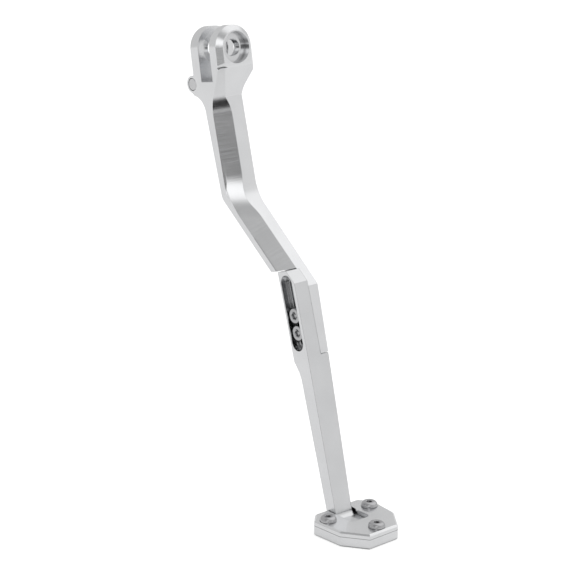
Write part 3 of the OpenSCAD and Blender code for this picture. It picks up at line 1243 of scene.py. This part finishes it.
@dataclass
class FootPlates:
    """The two plates of the enlarged foot."""

    nodes: tuple[str, ...] = ("foot_top_plate", "foot_base_plate")
    roughness: float = 0.22
    edge_radius: float = 0.4 * MM
    # Painted highlight: the plates' edges and bevels are lightened in colour.
    edge_painted_light: float = 0.2
    seam_z: float = -247.9 * MM

    def dress(self) -> None:
        """Dresses both plates."""
        seam = JointLine(Facing.UP.axis(), self.seam_z)
        material = AluminiumFinish(
            "foot_satin_aluminium", roughness=self.roughness,
            edge_radius=self.edge_radius, edge_painted_light=self.edge_painted_light,
            joints=(seam,)).make()
        for node in self.nodes:
            dress_node(node, material)


@dataclass(frozen=True)
class ScrewHead:
    """A head with a flat top, a round down to its rim, and a hexagon socket."""

    height: float
    rim_height: float
    flat_radius: float
    socket_flats: float
    socket_depth: float = 1.9 * MM
    floor_dip: float = 0.4 * MM
    floor_share: float = 0.55
    wall_share: float = 0.995
    mouth_depth: float = 0.32 * MM
    edge_break: float = 0.12 * MM
    round_steps: int = 12


@dataclass
class SocketScrew:
    """A hexagon socket screw, turned with a rounded head and a real thread.

    The head's place, reach and width come from the solid that it stands for.
    """

    node: str
    body: Body
    facing: Facing
    head: ScrewHead
    shank_radius: float = 2.45 * MM
    pitch: float = 0.8 * MM
    thread_depth: float = 0.42 * MM
    neck_widening: float = 0.1 * MM
    neck_height: float = 0.15 * MM
    plain_length: float = 0.8 * MM
    tip_length: float = 0.5 * MM
    socket_tip: float = 0.25 * MM
    around: int = 72
    rings_per_turn: int = 8
    fade_in: int = 6
    fade_out: int = 3
    last_ridge: float = 0.25
    sharp: float = 32.0

    def ring(self, radius: Callable[[float], float], z: float) -> list[Vector]:
        """Points around the screw's axis.

        Args:
            radius: The radius at an angle.
            z: The height along the axis.

        Returns:
            The ring's points.
        """
        turns = [math.tau * i / self.around for i in range(self.around)]
        return [Vector((radius(a) * math.cos(a), radius(a) * math.sin(a), z))
                for a in turns]

    def round_ring(self, radius: float, z: float) -> list[Vector]:
        """A round ring of the head or the shank."""
        return self.ring(lambda _angle: radius, z)

    def hex_ring(self, share: float, z: float) -> list[Vector]:
        """A ring of the hexagon socket.

        Args:
            share: The ring's size as a share of the socket's.
            z: The height along the axis.

        Returns:
            The ring's points.
        """
        half = self.head.socket_flats / 2 * share

        def radius(angle: float) -> float:
            """The hexagon's radius at an angle."""
            return half / math.cos(angle % (math.pi / 3) - math.pi / 6)

        return self.ring(radius, z)

    def thread_ring(self, z: float, fade: float) -> list[Vector]:
        """A ring of the threaded shank.

        Args:
            z: The height along the axis.
            fade: 0 for a plain shank, 1 for the full thread.

        Returns:
            The ring's points.
        """

        def radius(angle: float) -> float:
            """The thread's radius at an angle, as a ridge that winds down."""
            turn = (z / self.pitch + angle / math.tau) % 1.0
            return self.shank_radius - fade * self.thread_depth * abs(2 * turn - 1)

        return self.ring(radius, z)

    def head_rings(self, top: float, head_radius: float) -> list[list[Vector]]:
        """The socket and the head, from the socket's floor out to the seat.

        Args:
            top: The height of the head's top.
            head_radius: The radius of the head.

        Returns:
            The rings, in order.
        """
        head = self.head
        corner = head.socket_flats / 2 / math.cos(math.pi / 6)
        mouth = corner + head.edge_break
        floor = top - head.socket_depth
        rings = [self.hex_ring(head.floor_share, floor - head.floor_dip),
                 self.hex_ring(head.wall_share, floor),
                 self.hex_ring(1.0, top - head.mouth_depth),
                 self.round_ring(mouth, top),
                 self.round_ring((mouth + head.flat_radius) / 2, top)]
        rise = head.height - head.rim_height
        run = head_radius - head.flat_radius
        for i in range(head.round_steps + 1):
            a = math.pi / 2 * i / head.round_steps
            rings.append(self.round_ring(head.flat_radius + run * math.sin(a),
                                         top - rise * (1 - math.cos(a))))
        seat = top - head.height
        rings.append(self.round_ring(head_radius, seat + head.edge_break))
        rings.append(self.round_ring(head_radius - head.edge_break, seat))
        return rings

    def shank_rings(self, seat: float, tip: float) -> list[list[Vector]]:
        """The shank, from under the head to the chamfered tip.

        Args:
            seat: The height of the head's seat.
            tip: The height of the screw's end.

        Returns:
            The rings, in order.
        """
        rings = [self.round_ring(self.shank_radius + self.neck_widening, seat),
                 self.round_ring(self.shank_radius, seat - self.neck_height)]
        start, end = seat - self.plain_length, tip + self.tip_length
        steps = max(self.rings_per_turn,
                    round((start - end) / self.pitch * self.rings_per_turn))
        for i in range(steps + 1):
            z = start + (end - start) * i / steps
            fade = min(1.0, i / self.fade_in,
                       (steps - i) / self.fade_out + self.last_ridge)
            rings.append(self.thread_ring(z, fade))
        rings.append(self.round_ring(self.shank_radius - self.tip_length, tip))
        return rings

    def skin_over(self, rings: Sequence[Sequence[Vector]], tip: float
                  ) -> bmesh.types.BMesh:
        """Joins rings to a closed skin.

        Args:
            rings: The rings, from the socket's floor to the screw's end.
            tip: The height of the screw's end.

        Returns:
            The skin, along the Z axis.
        """
        mesh = bmesh.new()
        rows = [[mesh.verts.new(p) for p in ring] for ring in rings]
        for inner, outer in zip(rows, rows[1:]):
            for i in range(self.around):
                j = (i + 1) % self.around
                mesh.faces.new((inner[i], inner[j], outer[j], outer[i]))
        for row, z in ((rows[0], rings[0][0].z - self.socket_tip), (rows[-1], tip)):
            point = mesh.verts.new((0.0, 0.0, z))
            for i in range(self.around):
                mesh.faces.new((row[i], row[(i + 1) % self.around], point))
        bmesh.ops.recalc_face_normals(mesh, faces=mesh.faces)
        shade_smooth(mesh, self.sharp)
        return mesh

    def build(self, material: bpy.types.Material) -> None:
        """Builds the screw in its place, riding on its body.

        Args:
            material: Its steel.
        """
        low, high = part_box(self.node)
        axis = self.facing.axis()
        middle, half = (low + high) / 2, (high - low) / 2
        reach = abs(half.dot(axis))
        mesh = self.skin_over(self.head_rings(reach, half.x)
                              + self.shank_rings(reach - self.head.height, -reach),
                              -reach)
        turn = Facing.UP.axis().rotation_difference(axis).to_matrix().to_4x4()
        mesh.transform(Matrix.Translation(middle) @ turn)
        data = bpy.data.meshes.new(f"{self.node}_turned")
        mesh.to_mesh(data)
        mesh.free()
        data.materials.append(material)
        piece = bpy.data.objects.new(f"{self.node}_turned", data)
        bpy.context.scene.collection.objects.link(piece)
        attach(piece, self.body.value)
        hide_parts(self.node)
        LOG.info("%s turned, %d faces", self.node, len(data.polygons))


@dataclass
class ScrewSet:
    """Screws of one kind, on one body and with one way to face."""

    nodes: tuple[str, ...]
    body: Body
    facing: Facing
    head: ScrewHead

    def build(self, material: bpy.types.Material) -> None:
        """Turns the screws.

        Args:
            material: Their steel.
        """
        for node in self.nodes:
            SocketScrew(node, self.body, self.facing, self.head).build(material)


@dataclass
class ClampScrews(ScrewSet):
    """The two low cap screws that lock the length of the stand."""

    nodes: tuple[str, ...] = ("clamp_screw_upper", "clamp_screw_lower")
    body: Body = Body.UPPER
    facing: Facing = Facing.FRONT
    head: ScrewHead = ScrewHead(height=3.5 * MM, rim_height=3.05 * MM,
                                flat_radius=3.75 * MM, socket_flats=4.0 * MM)


@dataclass
class FootScrews(ScrewSet):
    """The three domed screws that hold the foot plates together."""

    nodes: tuple[str, ...] = ("foot_screw_left", "foot_screw_right",
                              "foot_screw_front")
    body: Body = Body.LOWER
    facing: Facing = Facing.UP
    head: ScrewHead = ScrewHead(height=2.75 * MM, rim_height=0.5 * MM,
                                flat_radius=2.6 * MM, socket_flats=3.0 * MM)


@dataclass(frozen=True)
class SkyPatch:
    """A soft patch of the studio's surroundings, bright or dark."""

    towards: tuple[float, float, float]
    inner: float
    outer: float
    level: float


@dataclass(frozen=True)
class DarkCard:
    """A dark card on the floor in front of the stand, which only metal mirrors."""

    azimuth: float = -40.0
    near: float = 0.42
    far: float = 2.6
    half_width: float = 0.20
    softness: float = 0.05

    def mask(self, graph: Graph) -> bpy.types.NodeSocket:
        """1 on the card, and 0 beside it.

        Args:
            graph: The floor's tree.

        Returns:
            The mask's output.
        """
        place = graph.add("NewGeometry").outputs["Position"]
        turn, soft = math.radians(self.azimuth), self.softness
        ahead = graph.dot(place, (math.cos(turn), math.sin(turn), 0.0))
        aside = graph.math("ABSOLUTE", graph.dot(
            place, (-math.sin(turn), math.cos(turn), 0.0)))
        begins = graph.ramp(ahead, self.near - soft, self.near + soft)
        ends = graph.ramp(ahead, self.far + soft, self.far - soft)
        within = graph.ramp(aside, self.half_width + soft, self.half_width - soft)
        return graph.times(within, graph.times(begins, ends))


@dataclass
class Studio:
    """The white room: its surroundings, and the pale floor with its dark card."""

    base_level: float = 0.80
    floor_reach: float = 30.0
    floor_albedo: float = 0.55
    floor_glow: float = 0.75
    floor_mirrored: float = 0.55
    card: DarkCard = DarkCard()
    patches: tuple[SkyPatch, ...] = (
        SkyPatch((0.10, 0.61, 0.78), 22, 48, 1.30),
        SkyPatch((0.78, 0.61, 0.08), 14, 34, 0.98),
        SkyPatch((0.13, -0.56, 0.82), 12, 30, 0.52),
        SkyPatch((0.60, -0.62, 0.52), 4, 22, 1.6),
        SkyPatch((0.77, -0.64, 0.03), 8, 22, 0.27),
    )

    def build_world(self) -> None:
        """Builds the surroundings that the metal reflects."""
        world = bpy.data.worlds.new("white_room")
        bpy.context.scene.world = world
        world.use_nodes = True
        graph = Graph(world.node_tree)
        towards = graph.add("TexCoord").outputs["Generated"]
        level: Number = self.base_level
        for patch in self.patches:
            facing = graph.dot(towards, Vector(patch.towards).normalized())
            mask = graph.ramp(facing, math.cos(math.radians(patch.outer)),
                              math.cos(math.radians(patch.inner)))
            rest = graph.times(level, graph.minus(1.0, mask))
            level = graph.plus(rest, graph.times(mask, patch.level))
        ray = graph.add("LightPath").outputs["Is Camera Ray"]
        white = graph.plus(ray, graph.times(level, graph.minus(1.0, ray)))
        background = graph.add("Background")
        graph.feed(background.inputs["Strength"], white)
        output = graph.add("OutputWorld")
        graph.feed(output.inputs["Surface"], background.outputs["Background"])
        LOG.info("white room with %d soft patches", len(self.patches))

    def floor_material(self) -> bpy.types.Material:
        """The pale floor, white to the camera and a little darker in the metal.

        Returns:
            The material.
        """
        material = bpy.data.materials.new("pale_floor")
        material.use_nodes = True
        graph = Graph(material.node_tree)
        path = graph.add("LightPath")
        mirrored = path.outputs["Is Glossy Ray"]
        open_floor = graph.minus(1.0, graph.times(mirrored, self.card.mask(graph)))
        diffuse = graph.add("BsdfDiffuse")
        graph.feed(diffuse.inputs["Color"], graph.times(open_floor, self.floor_albedo))
        seen = graph.math("ADD", path.outputs["Is Camera Ray"],
                          graph.times(mirrored, self.floor_mirrored), clamp=True)
        glow = graph.add("Emission")
        graph.feed(glow.inputs["Strength"], graph.times(
            open_floor, graph.times(seen, self.floor_glow)))
        both = graph.add("AddShader")
        graph.feed(both.inputs[0], diffuse.outputs[0])
        graph.feed(both.inputs[1], glow.outputs[0])
        output = graph.add("OutputMaterial")
        graph.feed(output.inputs["Surface"], both.outputs[0])
        return material

    def build_floor(self, ground: float) -> None:
        """Lays the floor under the stand.

        Args:
            ground: The height of the floor.
        """
        mesh = bmesh.new()
        bmesh.ops.create_grid(mesh, x_segments=1, y_segments=1, size=self.floor_reach)
        data = bpy.data.meshes.new("floor")
        mesh.to_mesh(data)
        mesh.free()
        data.materials.append(self.floor_material())
        floor = bpy.data.objects.new("floor", data)
        floor.location.z = ground
        bpy.context.scene.collection.objects.link(floor)
        floor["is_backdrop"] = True
        LOG.info("floor at %.4f m", ground)


@dataclass
class PhotoCamera:
    """The camera at the photograph's viewing angle."""

    look_at: tuple[float, float, float] = (74.2 * MM, -12.8 * MM, -122.4 * MM)
    azimuth: float = -40.0
    elevation: float = 18.0
    distance: float = 1055.6 * MM
    lens: float = 118.75
    sensor: float = 36.0
    clip_start: float = 0.05
    clip_end: float = 200.0

    def build(self) -> None:
        """Places the camera and makes it the scene's."""
        az, el = math.radians(self.azimuth), math.radians(self.elevation)
        back = Vector((math.cos(az) * math.cos(el), math.sin(az) * math.cos(el),
                       math.sin(el)))
        data = bpy.data.cameras.new("photo_camera")
        data.lens, data.sensor_width = self.lens, self.sensor
        data.clip_start, data.clip_end = self.clip_start, self.clip_end
        camera = bpy.data.objects.new("photo_camera", data)
        camera.location = Vector(self.look_at) + self.distance * back
        camera.rotation_euler = back.to_track_quat("Z", "Y").to_euler()
        bpy.context.scene.collection.objects.link(camera)
        bpy.context.scene.camera = camera
        LOG.info("camera %.3f m away", self.distance)


def box_numbers() -> list[list[float]]:
    """The whole object's box now, as plain numbers.

    Returns:
        Its lowest and highest corners.
    """
    return [[float(x) for x in corner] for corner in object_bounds()]


def main() -> None:
    """Dresses the stand, builds the screws and the studio, and lays the floor at the
    stand's lowest point.
    """
    logging.basicConfig(level=logging.INFO, format="%(name)s: %(message)s")
    before = box_numbers()
    PhotoCamera().build()
    UpperLeg().build()
    SpringPost().dress()
    LowerLeg().dress()
    FootPlates().dress()
    steel = SteelFinish("screw_bright_steel").make()
    ClampScrews().build(steel)
    FootScrews().build(steel)
    studio = Studio()
    studio.build_world()
    studio.build_floor(before[0][2])
    bpy.context.scene.view_settings.view_transform = "Standard"


if __name__ == "__main__":
    main()
